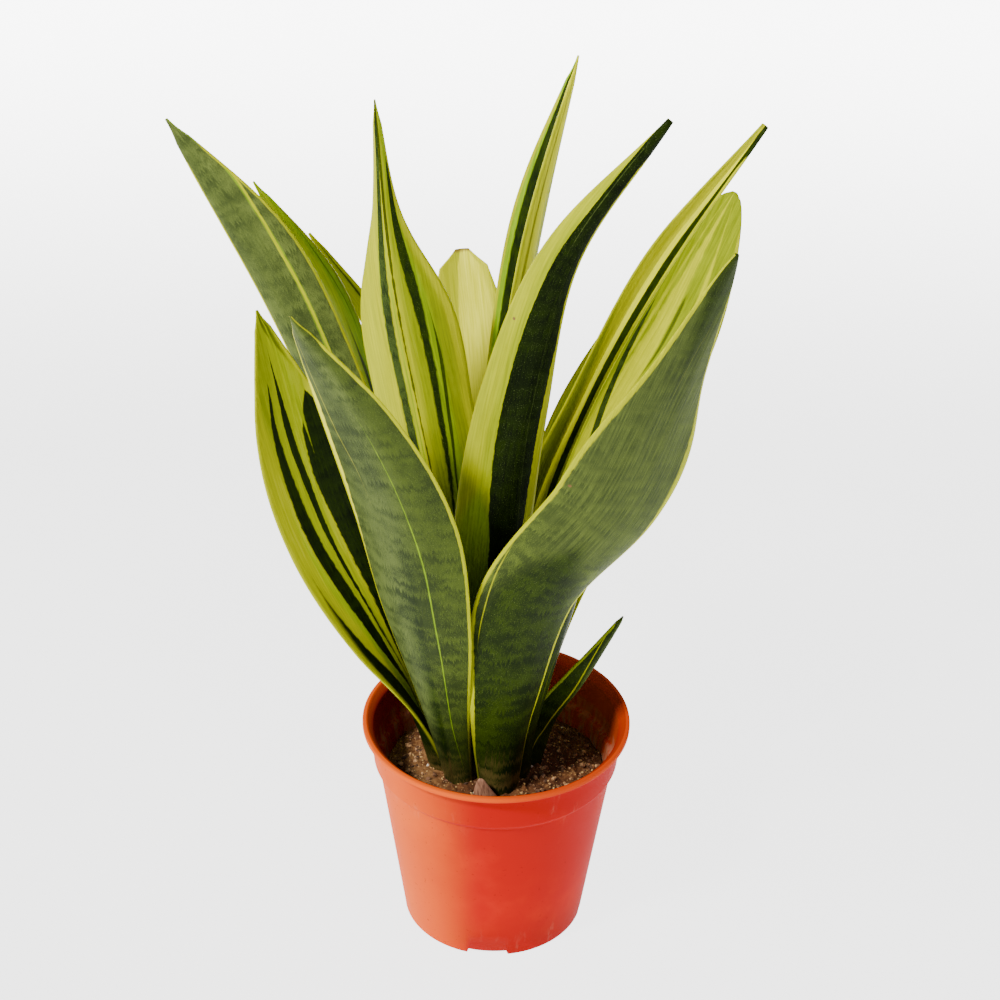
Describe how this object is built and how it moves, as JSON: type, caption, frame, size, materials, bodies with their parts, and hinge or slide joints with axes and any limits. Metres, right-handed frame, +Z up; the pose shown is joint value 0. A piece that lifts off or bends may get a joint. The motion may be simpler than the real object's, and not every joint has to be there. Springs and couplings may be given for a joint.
{
  "type": "potted snake plant",
  "caption": "Snake plant with stiff sword-shaped leaves, yellow and dark green, growing from soil in a tapered round plastic nursery pot.",
  "frame": {"origin": "under the middle of the plant's spread, on the surface that the pot's foot ring stands on", "axes": "+Z up along the pot's axis, -Y towards the viewer of the picture, +X to the viewer's right"},
  "size_m": [0.2621, 0.1529, 0.4422],
  "materials": {
    "pot": "thin moulded polypropylene, terracotta orange, satin, lightly scuffed",
    "soil": "dry sandy potting mix, crumbly, with pale grains",
    "rhizome": "fleshy, pale tan, dull",
    "leaf_dark": "firm waxy leaf, dark green with paler cross bands and a thin yellow margin",
    "leaf_striped": "firm waxy leaf, striped lengthwise in dark green and yellow",
    "leaf_yellow": "firm waxy leaf, yellow with a few thin green stripes",
    "dry_sheath": "dry, papery, pinkish brown"
  },
  "bodies": {
    "root": {"pot": "pot", "soil": "soil", "rhizome": "rhizome", "leaf_front_right": "leaf_dark", "leaf_front_left": "leaf_dark", "leaf_left_low": "leaf_striped", "leaf_left_long": "leaf_striped", "leaf_left_behind": "leaf_striped", "leaf_left_back": "leaf_yellow", "leaf_tall_left": "leaf_yellow", "leaf_back_short": "leaf_yellow", "leaf_tall_middle": "leaf_striped", "leaf_curved": "leaf_striped", "leaf_right_upper": "leaf_yellow", "leaf_right_back": "leaf_yellow", "leaf_right_dark": "leaf_dark", "dry_sheath": "dry_sheath", "leaf_pup": "leaf_dark"}
  },
  "joints": []
}
